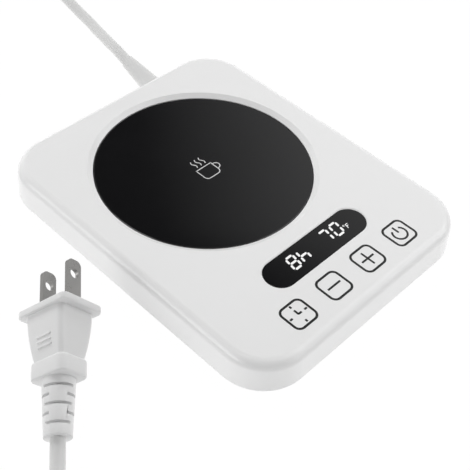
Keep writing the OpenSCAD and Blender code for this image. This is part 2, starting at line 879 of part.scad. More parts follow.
// Route of one mains wire: round the hotplate well and down the right side
function mains_route(rise) = let (
    z = gland_z + rise, z_end = mains_z + rise) [
    [gland_x, jacket_end_y, z], [gland_x, jacket_end_y - 1.2, z],
    [gland_x + 1.5, jacket_end_y - 2.6, z], [gland_x + 5, jacket_end_y - 3.2, z],
    [gland_x + 12, jacket_end_y - 5, z], [case_x - 6, case_screw_y + 9.5, z],
    [case_x, case_screw_y + case_clear + 1.4, z],
    [side_run_x - 0.8, case_screw_y + 3, z], [side_run_x, case_screw_y - 6, z],
    [side_run_x, 0, z], [side_run_x, 12 - case_screw_y, z],
    [side_run_x - 2, 8 - case_screw_y, z],
    [case_x - 2.5, 5.6 - case_screw_y, z],
    [case_x - case_clear, 2 - case_screw_y, (z + z_end) / 2],
    [case_x - case_clear, bay_y + 3, z_end], [face_x + 1.6, bay_y + 0.8, z_end],
    [face_x, bay_y, z_end], [face_x - 1.6, bay_y, z_end]
];

module mains_wires() {
    color("black") tube(mains_route(mains_rise), mains_wire_r, 6);
    color("white") tube(mains_route(-mains_rise), mains_wire_r, 6);
}

heater_wire_r = 0.7;
heater_wire_x = 6;

// Wires from the heater's tabs to the rear edge of the board
module heater_wires() {
    rear = board_y + board_l / 2;
    color("firebrick")
    for (x = [-1, 1] * heater_wire_x)
        tube([[x, glass_y - spreader_r - 0.4, z_felt + heater_t / 3 - heater_wire_r],
              [x, glass_y - opening_r - 1, z_ledge_under - heater_wire_r - 0.4],
              [x, glass_y - well_r, z_ledge_under - heater_wire_r - 1.2],
              [x, rear, z_board + heater_wire_r + 0.6], [x, rear - 1.4, z_board + heater_wire_r],
              [x, rear - 3, z_board + heater_wire_r]], heater_wire_r, 6);
}

// Thin wires from the sensor, under the retainer, to the board
module sensor_wires() {
    wire_r = 0.4;
    low = z_plate_under - sensor_drop - wire_r;
    rear = board_y + board_l / 2;
    color("ivory")
    for (x = [-1, 1])
        tube([[x, glass_y + 1, low], [x, glass_y - 8, low], [1.5 * x, glass_y - 24, low],
              [1.5 * x, glass_y - retainer_r - 1, low], [1.5 * x, rear + 1.4, z_board + 1.2],
              [1.5 * x, rear - 1, z_board + wire_r], [1.5 * x, rear - 3, z_board + wire_r]],
             wire_r, 6);
}

// ---- fasteners and feet ----

module case_screws() {
    color("silver")
    at_case_screws()
        screw(z_case_seat, case_screw_d, case_head_r, case_head_h, case_thread_l);
}

module rubber_feet() {
    roll = 0.6;
    r = foot_d / 2;
    color("dimgray")
    at_feet() rotate_extrude() {
        polygon([[0, 0], [r - roll, 0], [r - roll, roll], [r, roll],
                 [r, z_bottom + foot_seat], [0, z_bottom + foot_seat]]);
        translate([r - roll, roll]) circle(roll);
    }
}

// ---- cord ----

// Soft strain relief: a neck in the wall, the jacket's end inside, a cone outside
module cord_gland() {
    reach = gland_wall_y - jacket_end_y;
    color("white") {
        translate([gland_x, gland_wall_y, gland_z]) rotate([90, 0, 0]) {
            translate([0, 0, -gland_collar_l]) cylinder(h = wall + 3 * gland_collar_l,
                                                        r = gland_neck_r - play / 4);
            cylinder(h = reach, r = cord_r);
        }
        difference() {
            gland_cone();
            outer_form(z_skirt);
        }
        intersection() {
            translate([gland_x, gland_wall_y - wall - gland_inner_l, gland_z])
                rotate([-90, 0, 0]) cylinder(h = gland_inner_l + wall, r = gland_inner_r);
            inner_form(z_skirt);
        }
    }
}

// Collar against the wall and the cone that leans away from it
module gland_cone() {
    translate([gland_x, gland_wall_y, gland_z]) {
        rotate([-90, 0, 0]) translate([0, 0, -wall / 2])
            cylinder(h = gland_collar_l + wall / 2, r = gland_d / 2);
        translate([0, gland_collar_l, 0]) {
            sphere(gland_d / 2);
            rotate([-90, 0, -gland_lean])
                cylinder(h = gland_l, r1 = gland_d / 2, r2 = gland_tip_d / 2);
        }
    }
}

module cord_lead() {
    color("white") tube(lead_path, cord_r, 8);
}

module cord_coil() {
    color("white") tube(coil_path, cord_r, 6);
}

module cord_tail() {
    color("white") tube(tail_path, cord_r, 8);
}

// ---- plug ----

// Places the plug, which is drawn with its blades up and its flange's face at zero
module plug_pose() {
    translate(plug_origin) rotate([0, 0, plug_heading]) rotate([0, 90 - plug_rise, 0])
        rotate([0, 0, 90 + plug_roll]) children();
}

// Outline of a rounded rectangle as points, a quarter turn at each corner
function outline(w, l, r, steps = 6) = [
    for (q = [0 : 3], i = [0 : steps])
        let (a = 90 * (q + i / steps), x = q == 0 || q == 3 ? 1 : -1, y = q < 2 ? 1 : -1)
        [x * (w / 2 - r) + r * cos(a), y * (l / 2 - r) + r * sin(a)]
];

// Smooth solid through rounded sections, each [z, width, length, corner radius], upwards
module loft(sections) {
    rings = [for (s = sections) [for (p = outline(s[1], s[2], s[3])) [p.x, p.y, s[0]]]];
    n = len(rings[0]);
    top = (len(rings) - 1) * n;
    skin = [
        for (i = [0 : len(rings) - 2], k = [0 : n - 1])
            let (a = i * n + k, b = i * n + (k + 1) % n)
            each [[a, a + n, b], [b, a + n, b + n]]
    ];
    polyhedron(points = [for (ring = rings) each ring],
               faces = concat(skin, [[for (k = [0 : n - 1]) k]],
                              [[for (k = [n - 1 : -1 : 0]) top + k]]));
}

// Grip that swells towards its flange, and the thick ring behind it
module plug_grip() {
    belly = 1.8; // fullness of the grip, from its flange to its end
    steps = 6;
    loft(concat(
        [[z_ring_end, ring_w, ring_l, 2.5], [z_grip_end - 2.6, ring_w, ring_l, 2.5],
         [z_grip_end - 1.6, ring_w - 1, ring_l - 1, 2.5]],
        [for (i = [steps : -1 : 0])
            let (s = i / steps, k = pow(s, belly))
            [z_flange_end - s * grip_l, grip_top.x + (grip_end.x - grip_top.x) * k,
             grip_top.y + (grip_end.y - grip_top.y) * k, 2]],
        [[z_flange_end + flange_t / 2, grip_top.x, grip_top.y, 2]]));
}

// Raised grip lines on both broad faces
module plug_ridges() {
    ridge_w = 6.8;
    ridge_pitch = 1.8;
    ridge_t = 0.9;
    for (side = [-1, 1], i = [-1 : 1])
        let (z = z_flange_end - 0.62 * grip_l + i * ridge_pitch)
        translate([-ridge_w / 2, side * (grip_top.y / 2 - 1.95) - 1.4 + i * side * 0.25, z])
            cube([ridge_w, 2.8, ridge_t]);
}

// Strain relief: a cone cut by slots that alternate front and side
module plug_relief() {
    slots = floor(relief_l / relief_pitch);
    difference() {
        translate([0, 0, z_relief_end])
            cylinder(h = relief_l + 0.5, r1 = relief_end_r, r2 = relief_top_r);
        for (i = [0 : slots - 1], side = [-1, 1]) {
            translate([0, 0, z_ring_end - 3.2 - i * relief_pitch]) relief_cut(side, relief_turn);
            if (i < slots - 1)
                translate([0, 0, z_ring_end - 3.2 - (i + 0.5) * relief_pitch])
                    relief_cut(side, relief_turn + 90);
        }
    }
}

module relief_cut(side, turn) {
    reach = 2 * relief_top_r;
    rotate(turn) translate([-reach / 2, side > 0 ? relief_core_r : -reach, -relief_slot / 2])
        cube([reach, reach - relief_core_r, relief_slot]);
}

module blade_bar(length_up) {
    for (x = [-1, 1]) translate([x * blade_pitch / 2, 0, -blade_root])
        translate([-blade_t / 2, -blade_w / 2, 0]) cube([blade_t, blade_w, length_up]);
}

module plug_body() {
    color("whitesmoke")
    plug_pose() difference() {
        union() {
            translate([0, 0, z_flange_end]) linear_extrude(flange_t)
                rounded_rect(flange_w, flange_l, flange_corner_r);
            plug_grip();
            plug_ridges();
            plug_relief();
        }
        blade_bar(blade_root + through);
    }
}

module plug_blades() {
    color("silver")
    plug_pose() difference() {
        union() {
            blade_bar(blade_root + blade_l - blade_tip_r);
            for (x = [-1, 1]) translate([x * blade_pitch / 2, 0, blade_l - blade_tip_r]) {
                translate([-blade_t / 2, -blade_w / 2 + blade_tip_r, 0])
                    cube([blade_t, blade_w - 2 * blade_tip_r, blade_tip_r]);
                for (y = [-1, 1]) translate([0, y * (blade_w / 2 - blade_tip_r), 0])
                    along_x(blade_tip_r, blade_t);
            }
        }
        translate([0, 0, blade_hole_z]) along_x(blade_hole_d / 2, 2 * blade_pitch);
    }
}

top_shell();
bottom_cover();
heating_glass();
glass_seal();
heat_spreader();
heating_element();
heater_insulator();
heater_retainer();
retainer_screws();
sensor_holder();
temperature_sensor();
thermal_fuse();
fuse_clip();
main_board();
display_module();
display_window();
touch_springs();
control_chip();
transformer();
smoothing_capacitor();
filter_capacitor();
heater_triac();
buzzer();
board_fuse();
mains_terminal();
board_screws();
cord_clamp();
clamp_screws();
mains_wires();
heater_wires();
sensor_wires();
case_screws();
rubber_feet();
cord_gland();
cord_lead();
cord_coil();
cord_tail();
plug_body();
plug_blades();
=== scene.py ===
import math

import bmesh
import bpy
from mathutils import Matrix, Vector


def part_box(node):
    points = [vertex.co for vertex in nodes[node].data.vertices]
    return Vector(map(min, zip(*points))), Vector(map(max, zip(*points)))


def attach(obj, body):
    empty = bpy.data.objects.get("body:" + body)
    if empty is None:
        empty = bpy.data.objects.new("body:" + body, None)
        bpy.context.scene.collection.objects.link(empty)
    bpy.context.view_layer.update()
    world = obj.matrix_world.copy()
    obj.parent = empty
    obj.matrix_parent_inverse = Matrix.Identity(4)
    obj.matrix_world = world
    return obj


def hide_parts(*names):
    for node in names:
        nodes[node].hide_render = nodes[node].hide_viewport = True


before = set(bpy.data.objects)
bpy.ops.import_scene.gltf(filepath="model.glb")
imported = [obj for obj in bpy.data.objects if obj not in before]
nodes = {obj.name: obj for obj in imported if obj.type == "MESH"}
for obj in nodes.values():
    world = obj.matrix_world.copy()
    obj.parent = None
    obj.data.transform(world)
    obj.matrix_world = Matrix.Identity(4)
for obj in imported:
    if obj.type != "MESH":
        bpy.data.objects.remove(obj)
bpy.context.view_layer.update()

mm = 0.001


def pointing(azimuth, height):
    # unit vector along two angles in radians: round from +X, and up from the table
    flat = math.cos(height)
    return Vector((math.cos(azimuth) * flat, math.sin(azimuth) * flat, math.sin(height)))


# camera, placed where the photograph was taken from

photoCamera = {
    "place": (-0.202196, -0.177072, 0.27267),
    "right": (0.69972, -0.71165, 0.06287),
    "up": (0.48962, 0.54177, 0.6832),
    "look": (0.52026, 0.44726, -0.72752),
    "lens": 70.943,
    "sensor": 36.0,
    "clip": (0.01, 20),
}


def makeCamera(view):
    lens = bpy.data.cameras.new("photoCamera")
    lens.sensor_width = view["sensor"]
    lens.lens = view["lens"]
    lens.clip_start, lens.clip_end = view["clip"]
    camera = bpy.data.objects.new("photoCamera", lens)
    bpy.context.scene.collection.objects.link(camera)
    turn = Matrix([view["right"], view["up"], [-v for v in view["look"]]]).transposed()
    camera.matrix_world = Matrix.Translation(view["place"]) @ turn.to_4x4()
    bpy.context.scene.camera = camera


makeCamera(photoCamera)
print("camera stands")


# shader sums: a Wire is one socket, and expressions on wires add Math nodes

class Wire:
    def __init__(self, board, socket):
        self.board, self.socket = board, socket

    def maths(self, operation, other):
        sockets = {0: self, 1: other}
        return self.board.add("ShaderNodeMath", {"operation": operation}, sockets).out(0)

    def __add__(self, other):
        return self.maths("ADD", other)

    def __mul__(self, other):
        return self.maths("MULTIPLY", other)

    def larger(self, other):
        return self.maths("MAXIMUM", other)


class Placed:
    def __init__(self, board, node):
        self.board, self.node = board, node

    def out(self, name):
        return Wire(self.board, self.node.outputs[name])


class Board:
    def __init__(self, tree):
        self.tree = tree
        tree.nodes.clear()

    def add(self, kind, settings=None, sockets=None):
        node = self.tree.nodes.new(kind)
        for name, value in (settings or {}).items():
            setattr(node, name, value)
        for name, value in (sockets or {}).items():
            if isinstance(value, Wire):
                self.tree.links.new(value.socket, node.inputs[name])
            else:
                node.inputs[name].default_value = value
        return Placed(self, node)

    def place(self, scale=(1, 1, 1)):
        at = self.add("ShaderNodeTexCoord").out("Object")
        return self.add("ShaderNodeMapping", None, {"Vector": at, "Scale": scale}).out(0)

    def noise(self, at, scale, detail=2.0, rough=0.5):
        sockets = {"Vector": at, "Scale": scale, "Detail": detail, "Roughness": rough}
        return self.add("ShaderNodeTexNoise", None, sockets).out("Fac")

    def cells(self, at, scale):
        sockets = {"Vector": at, "Scale": scale}
        return self.add("ShaderNodeTexVoronoi", None, sockets).out("Distance")

    def blend(self, part, one, other):
        return self.add("ShaderNodeMix", {"data_type": "RGBA"}, {0: part, 6: one, 7: other}).out(2)

    def clamp(self, value, low, high, fromLow=0.0, fromHigh=1.0):
        sockets = {0: value, 1: fromLow, 2: fromHigh, 3: low, 4: high}
        return self.add("ShaderNodeMapRange", None, sockets).out(0)

    def weigh(self, one, other, share):
        return one * share + other * (1 - share)

    def bump(self, height, depth):
        sockets = {"Height": height, "Distance": depth, "Strength": 1.0}
        return self.add("ShaderNodeBump", None, sockets).out(0)

    def mixShaders(self, part, one, other):
        return self.add("ShaderNodeMixShader", None, {0: part, 1: one, 2: other}).out(0)

    def glow(self, tone, strength):
        sockets = {"Color": colour(tone), "Strength": strength}
        return self.add("ShaderNodeEmission", None, sockets).out(0)


def colour(*parts):
    return (*(parts if len(parts) == 3 else parts * 3), 1.0)


finishes = {}


def newFinish(name):
    made = bpy.data.materials.new(name)
    made.use_nodes = True
    finishes[name] = made
    return Board(made.node_tree)


def closeFinish(board, sockets):
    shader = board.add("ShaderNodeBsdfPrincipled", None, sockets)
    board.add("ShaderNodeOutputMaterial", None, {"Surface": shader.out(0)})


# moulded plastics: a tone, its cloudiness, its gloss, and the grain of the mould

plastics = {
    "shellGloss": {"tone": (0.86, 0.86, 0.86), "cloud": 0.015, "gloss": (0.28, 0.36),
                   "grain": 900, "depth": 4e-6, "coat": 0.6},
    "coverMatte": {"tone": (0.72, 0.72, 0.72), "cloud": 0.03, "gloss": (0.45, 0.58),
                   "grain": 2600, "depth": 2.5e-5, "coat": 0.0},
    "cordSleeve": {"tone": (0.67, 0.67, 0.665), "cloud": 0.015, "gloss": (0.40, 0.46),
                   "grain": 700, "depth": 1.5e-6, "coat": 0.0},
    "plugMoulding": {"tone": (0.75, 0.75, 0.75), "cloud": 0.03, "gloss": (0.40, 0.50),
                     "grain": 2200, "depth": 1.2e-5, "coat": 0.0},
    "footRubber": {"tone": (0.045, 0.045, 0.048), "cloud": 0.2, "gloss": (0.70, 0.85),
                   "grain": 2400, "depth": 3e-5, "coat": 0.0},
    "sealSilicone": {"tone": (0.38, 0.38, 0.38), "cloud": 0.06, "gloss": (0.50, 0.62),
                     "grain": 1200, "depth": 1.5e-5, "coat": 0.0},
    "clampNylon": {"tone": (0.70, 0.68, 0.62), "cloud": 0.05, "gloss": (0.35, 0.48),
                   "grain": 1700, "depth": 1.2e-5, "coat": 0.0},
    "partBlack": {"tone": (0.022, 0.022, 0.024), "cloud": 0.25, "gloss": (0.42, 0.60),
                  "grain": 3500, "depth": 1.5e-5, "coat": 0.0},
    "terminalGreen": {"tone": (0.04, 0.30, 0.07), "cloud": 0.08, "gloss": (0.32, 0.45),
                      "grain": 2000, "depth": 1e-5, "coat": 0.0},
    "wireSleeve": {"tone": (0.10, 0.10, 0.10), "cloud": 0.12, "gloss": (0.35, 0.5),
                   "grain": 2500, "depth": 8e-6, "coat": 0.0},
    "coilTape": {"tone": (0.62, 0.44, 0.06), "cloud": 0.10, "gloss": (0.25, 0.4),
                 "grain": 700, "depth": 2e-5, "coat": 0.2},
    "capSleeve": {"tone": (0.02, 0.035, 0.12), "cloud": 0.12, "gloss": (0.2, 0.34),
                  "grain": 900, "depth": 8e-6, "coat": 0.2},
    "capDipped": {"tone": (0.60, 0.26, 0.03), "cloud": 0.12, "gloss": (0.18, 0.32),
                  "grain": 600, "depth": 2e-5, "coat": 0.3},
    "glazedBead": {"tone": (0.78, 0.74, 0.62), "cloud": 0.06, "gloss": (0.12, 0.25),
                   "grain": 900, "depth": 1e-5, "coat": 0.4},
}


def makePlastic(name, look):
    board = newFinish(name)
    at = board.place()
    cloud = board.noise(at, scale=38, detail=3)
    paler = [min(1, v * (1 + look["cloud"])) for v in look["tone"]]
    deeper = [v * (1 - look["cloud"]) for v in look["tone"]]
    patches = board.noise(at, scale=120, detail=4)
    closeFinish(board, {
        "Base Color": board.blend(cloud, colour(*deeper), colour(*paler)),
        "Roughness": board.clamp(patches, *look["gloss"], fromLow=0.3, fromHigh=0.7),
        "Normal": board.bump(board.noise(at, look["grain"], detail=3), look["depth"]),
        "Coat Weight": look["coat"],
        "Coat Roughness": 0.2,
    })


for name, look in plastics.items():
    makePlastic(name, look)


# metals: a tone, its gloss, and brushing or rolling marks drawn out along one way

metals = {
    "rolledAluminium": {"tone": (0.78, 0.79, 0.80), "gloss": (0.28, 0.45),
                        "stretch": (60, 2400, 400), "depth": 4e-6},
    "platedSteel": {"tone": (0.58, 0.58, 0.57), "gloss": (0.25, 0.45),
                    "stretch": (500, 500, 500), "depth": 8e-6},
    "screwSteel": {"tone": (0.55, 0.55, 0.56), "gloss": (0.22, 0.38),
                   "stretch": (1500, 1500, 300), "depth": 6e-6},
    "tinnedMetal": {"tone": (0.66, 0.66, 0.65), "gloss": (0.2, 0.36),
                    "stretch": (900, 900, 900), "depth": 5e-6},
    "giltSpring": {"tone": (0.83, 0.60, 0.26), "gloss": (0.18, 0.3),
                   "stretch": (900, 900, 2500), "depth": 4e-6},
    "bladeNickel": {"tone": (0.27, 0.266, 0.26), "gloss": (0.24, 0.36),
                    "stretch": (300, 300, 300), "depth": 4e-6},
}
stained = 0.86  # tone of the darkest stain, as a share of the metal's own


def makeMetal(name, look):
    board = newFinish(name)
    marks = board.noise(board.place(look["stretch"]), scale=1.0, detail=4, rough=0.6)
    stain = board.noise(board.place(), scale=160, detail=3)
    tone = look["tone"]
    dulled = board.weigh(marks, stain, share=0.6)
    closeFinish(board, {
        "Base Color": board.blend(stain, colour(*[v * stained for v in tone]), colour(*tone)),
        "Metallic": 1.0,
        "Roughness": board.clamp(dulled, *look["gloss"], fromLow=0.3, fromHigh=0.7),
        "Normal": board.bump(marks, look["depth"]),
    })


for name, look in metals.items():
    makeMetal(name, look)


# black glass and the smoked window: a tone, wiped smudges, and a gloss

glasses = {
    "hotplateGlass": {"tone": (0.0055, 0.0055, 0.006), "smudge": 0.05, "gloss": 0.10, "ior": 1.5},
    "smokedWindow": {"tone": (0.005, 0.005, 0.0055), "smudge": 0.04, "gloss": 0.10, "ior": 1.4},
}
smudged = 1.35  # tone of a smudge, as a share of the glass's own


def makeGlass(name, look):
    board = newFinish(name)
    at = board.place()
    smudge = board.noise(at, scale=26, detail=5, rough=0.6)
    tone, clean, dull = look["tone"], look["gloss"], look["gloss"] + look["smudge"]
    closeFinish(board, {
        "Base Color": board.blend(smudge, colour(*tone), colour(*[v * smudged for v in tone])),
        "Roughness": board.clamp(smudge, clean, dull, fromLow=0.35, fromHigh=0.7),
        "Normal": board.bump(board.noise(at, scale=300, detail=1), depth=1e-6),
        "IOR": look["ior"],
    })


for name, look in glasses.items():
    makeGlass(name, look)


# board, mica, felt, inks and the lit digits have their own trees

resistLook = {
    "bare": (0.012, 0.11, 0.035), "tracked": (0.03, 0.20, 0.07), "gloss": (0.22, 0.36),
    "stretch": (420, 420, 420), "tracks": 0.45, "gap": 0.06, "offset": 0.37, "depth": 2e-5,
}


def makeBoardResist(look):
    board = newFinish("boardResist")
    tracks = board.add("ShaderNodeTexBrick", {"offset": look["offset"]}, {
        "Vector": board.place(look["stretch"]), "Scale": look["tracks"],
        "Mortar Size": look["gap"], "Mortar": colour(1),
        "Color1": colour(0), "Color2": colour(0.2),
    }).out("Fac")
    closeFinish(board, {
        "Base Color": board.blend(tracks, colour(*look["bare"]), colour(*look["tracked"])),
        "Roughness": board.clamp(board.noise(board.place(), scale=300), *look["gloss"]),
        "Normal": board.bump(tracks, look["depth"]),
    })


micaLook = {
    "deeper": (0.36, 0.27, 0.14), "paler": (0.58, 0.50, 0.36), "metallic": (0.1, 0.5),
    "gloss": (0.28, 0.6), "depth": 1.2e-5,
}


def makeMicaFoil(look):
    board = newFinish("micaFoil")
    flakes = board.cells(board.place(), scale=420)
    patches = board.noise(board.place(), scale=90, detail=4)
    shine = board.clamp(patches, low=0.0, high=1.0, fromLow=0.35, fromHigh=0.65)
    closeFinish(board, {
        "Base Color": board.blend(shine, colour(*look["deeper"]), colour(*look["paler"])),
        "Metallic": board.clamp(shine, *look["metallic"]),
        "Roughness": board.clamp(flakes, *look["gloss"]),
        "Normal": board.bump(flakes, look["depth"]),
    })


feltLook = {
    "deeper": (0.50, 0.48, 0.42), "paler": (0.78, 0.76, 0.70), "gloss": 0.92,
    "stretch": (1, 1, 2.5), "depth": 1.2e-4,
}


def makeFelt(look):
    board = newFinish("glassFelt")
    fibres = board.noise(board.place(look["stretch"]), scale=1400, detail=6, rough=0.75)
    tufts = board.noise(board.place(), scale=260, detail=3)
    fluff = board.weigh(fibres, tufts, share=0.6)
    closeFinish(board, {
        "Base Color": board.blend(fluff, colour(*look["deeper"]), colour(*look["paler"])),
        "Roughness": look["gloss"],
        "Normal": board.bump(fibres + tufts, look["depth"]),
    })


inks = {
    "keyInk": {"deeper": 0.003, "paler": 0.006, "gloss": (0.32, 0.5),
               "grain": 1800, "depth": 4e-6},
    "glassPrint": {"deeper": 0.62, "paler": 0.72, "gloss": (0.32, 0.5),
                   "grain": 1600, "depth": 4e-6},
}


def makeInk(name, look):
    board = newFinish(name)
    speck = board.noise(board.place(), look["grain"], detail=4)
    closeFinish(board, {
        "Base Color": board.blend(speck, colour(look["deeper"]), colour(look["paler"])),
        "Roughness": board.clamp(speck, *look["gloss"]),
        "Normal": board.bump(speck, look["depth"]),
    })


glowLook = {
    "deeper": 0.35, "paler": 0.45, "gloss": (0.35, 0.45), "dim": (0.6, 0.63, 0.65),
    "flicker": (0.86, 1.0), "strength": 0.55,
}


def makeGlow(look):
    board = newFinish("digitGlow")
    grains = board.noise(board.place(), scale=700, detail=2)
    flicker = board.clamp(grains, *look["flicker"], fromLow=0.3, fromHigh=0.7)
    closeFinish(board, {
        "Base Color": board.blend(flicker, colour(look["deeper"]), colour(look["paler"])),
        "Roughness": board.clamp(flicker, *look["gloss"]),
        "Emission Color": board.blend(flicker, colour(*look["dim"]), colour(1)),
        "Emission Strength": look["strength"],
    })


makeBoardResist(resistLook)
makeMicaFoil(micaLook)
makeFelt(feltLook)
for name, look in inks.items():
    makeInk(name, look)
makeGlow(glowLook)
print("finishes mixed:", len(finishes))


# helpers for modelling by hand in edit mode; their sizes are in millimetres

def freshStart():
    if bpy.context.object and bpy.context.object.mode != "OBJECT":
        bpy.ops.object.mode_set(mode="OBJECT")
    bpy.ops.object.select_all(action="DESELECT")


def justThis(piece):
    freshStart()
    piece.select_set(True)
    bpy.context.view_layer.objects.active = piece


def settle(piece):
    justThis(piece)
    bpy.ops.object.transform_apply(location=True, rotation=True, scale=True)


def editing(piece):
    justThis(piece)
    bpy.ops.object.mode_set(mode="EDIT")


def doneEditing():
    bpy.ops.object.mode_set(mode="OBJECT")


def pick(kind, test, piece):
    mesh = bmesh.from_edit_mesh(piece.data)
    bpy.ops.mesh.select_mode(type={"verts": "VERT", "edges": "EDGE", "faces": "FACE"}[kind])
    bpy.ops.mesh.select_all(action="DESELECT")
    for item in getattr(mesh, kind):
        item.select_set(bool(test(item)))
    mesh.select_flush_mode()
    bmesh.update_edit_mesh(piece.data)


def drawOut(*way):
    # extrudes what is selected, and leaves the new end selected
    value = [v * mm for v in way]
    bpy.ops.mesh.extrude_region_move(TRANSFORM_OT_translate={"value": value})


def closeShell():
    bpy.ops.mesh.select_all(action="SELECT")
    bpy.ops.mesh.normals_make_consistent(inside=False)
    doneEditing()


def hollow(piece, line):
    # leaves a flat plate's rim, line wide
    editing(piece)
    pick("faces", lambda f: True, piece)
    bpy.ops.mesh.inset(thickness=line * mm, depth=0)
    bpy.ops.mesh.delete(type="FACE")
    doneEditing()


def joinAs(name, pieces):
    freshStart()
    for piece in pieces:
        piece.select_set(True)
    bpy.context.view_layer.objects.active = pieces[0]
    bpy.ops.object.join()
    made = bpy.context.view_layer.objects.active
    made.name = made.data.name = name
    return made


def dress(piece, finish, body="root"):
    piece.data.materials.clear()
    piece.data.materials.append(finishes[finish])
    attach(piece, body)


def endModifiers(piece):
    justThis(piece)
    for modifier in list(piece.modifiers):
        bpy.ops.object.modifier_apply(modifier=modifier.name)


def soften(piece, width, arcs, sharp=None):
    # rounds the edges that bend by more than sharp degrees, or by the modifier's own limit
    soft = piece.modifiers.new("soft", "BEVEL")
    soft.width, soft.segments = width * mm, arcs
    if sharp:
        soft.limit_method, soft.angle_limit = "ANGLE", math.radians(sharp)
    endModifiers(piece)


def plate(length, width, centre, corner=0.0, arcs=1):
    # flat plate with round corners
    freshStart()
    bpy.ops.mesh.primitive_plane_add(size=1, location=(0, 0, 0))
    made = bpy.context.object
    made.scale = (length * mm, width * mm, 1)
    settle(made)
    if corner:
        editing(made)
        pick("verts", lambda v: True, made)
        bpy.ops.mesh.bevel(affect="VERTICES", offset=corner * mm, segments=arcs)
        doneEditing()
    made.location = [v * mm for v in centre]
    settle(made)
    return made


def block(sizes, centre=(0, 0, 0)):
    freshStart()
    bpy.ops.mesh.primitive_cube_add(size=1, location=[v * mm for v in centre])
    made = bpy.context.object
    made.scale = [v * mm for v in sizes]
    settle(made)
    return made


def thicken(piece, height):
    editing(piece)
    pick("faces", lambda f: True, piece)
    drawOut(0, 0, height)
    closeShell()


# cord: the CAD's route in millimetres, one smooth curve from the strain relief to the plug

cordLook = {"thick": 5.2, "length": 1.2107, "stub": 5.2, "rings": 24, "arcs": 8, "steps": 5}
reliefLook = {"x": 25.5, "z": 8.0, "wallY": 74.7447, "collar": 1.6, "long": 21.5, "lean": 10.0}
coilLook = {"centre": (-88, 132), "outer": 33.5, "inner": 21.3, "start": 110,
            "end": 160 + 4 * 360, "layer": 5.7, "lift": 0.02}
leadRoute = [
    (31.5, 108, 7.8), (33.5, 115.5, 6.7), (36, 123.5, 5.2), (38.5, 132, 3.8),
    (41, 141, 2.9), (42.5, 149, 2.6), (44, 157, 2.6), (45.5, 165.5, 2.6),
    (46.5, 175, 2.6), (45, 185, 2.6), (40, 194.5, 2.6), (31.5, 201.5, 2.6),
    (20.5, 204.5, 2.6), (8, 203, 2.6), (-5, 198.8, 2.6), (-18, 194, 2.6),
    (-34, 188, 2.6), (-50, 182, 2.6), (-66, 176, 2.6), (-82, 170, 2.6),
]
tailRoute = [
    (-124, 129.5, 7.4), (-128, 118, 5.2), (-132, 106, 3.35), (-136, 94, 2.66),
    (-141, 79, 2.6), (-146, 63, 2.6), (-151, 47, 2.6), (-156, 31, 2.6),
    (-161, 15, 2.6), (-166, 0, 2.6), (-170, -14, 2.6), (-172, -28, 2.6),
    (-170.5, -42, 2.6), (-163, -55, 2.6), (-150, -61, 2.62), (-136.5, -57.5, 2.8),
]
plugLook = {
    "place": (-89, -2.3), "heading": 50.2, "rise": 11.0, "roll": -42.0, "clear": 0.05,
    "sharp": 50, "smooth": 32,
    "flange": (24, 19, 2.7), "flangeCorner": 2.5, "flangeRim": (0.55, 4),
    "grip": 19.0, "gripTop": (18, 16), "gripEnd": (13, 11), "gripCorner": 2.2,
    "gripSink": 0.6, "gripSteps": 12, "gripCurve": 1.8,
    "ridge": (6.8, 2.8, 0.9), "ridgeAt": 0.62, "ridgePitch": 1.8, "ridgeLift": 0.45,
    "ridgeSink": 1.95, "ridgeSlope": 0.25, "ridgeRim": (0.38, 4),
    "ring": (16.5, 13.2, 5.0), "ringCorner": 2.8, "ringSink": 1.6, "ringRim": (0.9, 5),
    "relief": 20.0, "reliefTop": 5.85, "reliefEnd": 4.8, "reliefSink": 0.5, "core": 2.9,
    "slot": 1.0, "slotPitch": 6.4, "slotStart": 3.2, "slotTurn": 45, "slotRim": (0.18, 3, 40),
}
facets = {"plug": 8, "relief": 64, "key": 10, "bar": 3, "dot": 20, "power": 48}


def plugPlacing(look):
    # the flange's low edge rests on the table
    rise, roll = math.radians(look["rise"]), math.radians(look["roll"])
    heading = math.radians(look["heading"])
    width, depth, thick = look["flange"]
    corner = look["flangeCorner"]
    flat = (width / 2 - corner) * abs(math.sin(roll)) + (depth / 2 - corner) * math.cos(roll)
    height = (flat + corner) * math.cos(rise) + thick * math.sin(rise) + look["clear"]
    origin = Vector((*look["place"], height))
    turn = Matrix.Rotation(heading, 4, "Z") @ Matrix.Rotation(math.pi / 2 - rise, 4, "Y")
    turn = turn @ Matrix.Rotation(math.pi / 2 + roll, 4, "Z")
    return origin, pointing(heading, rise), Matrix.Translation(origin * mm) @ turn


plugOrigin, plugAxis, plugMatrix = plugPlacing(plugLook)
plugLong = plugLook["flange"][2] + plugLook["grip"] + plugLook["ring"][2] + plugLook["relief"]
plugCordEnd = plugOrigin - plugAxis * plugLong


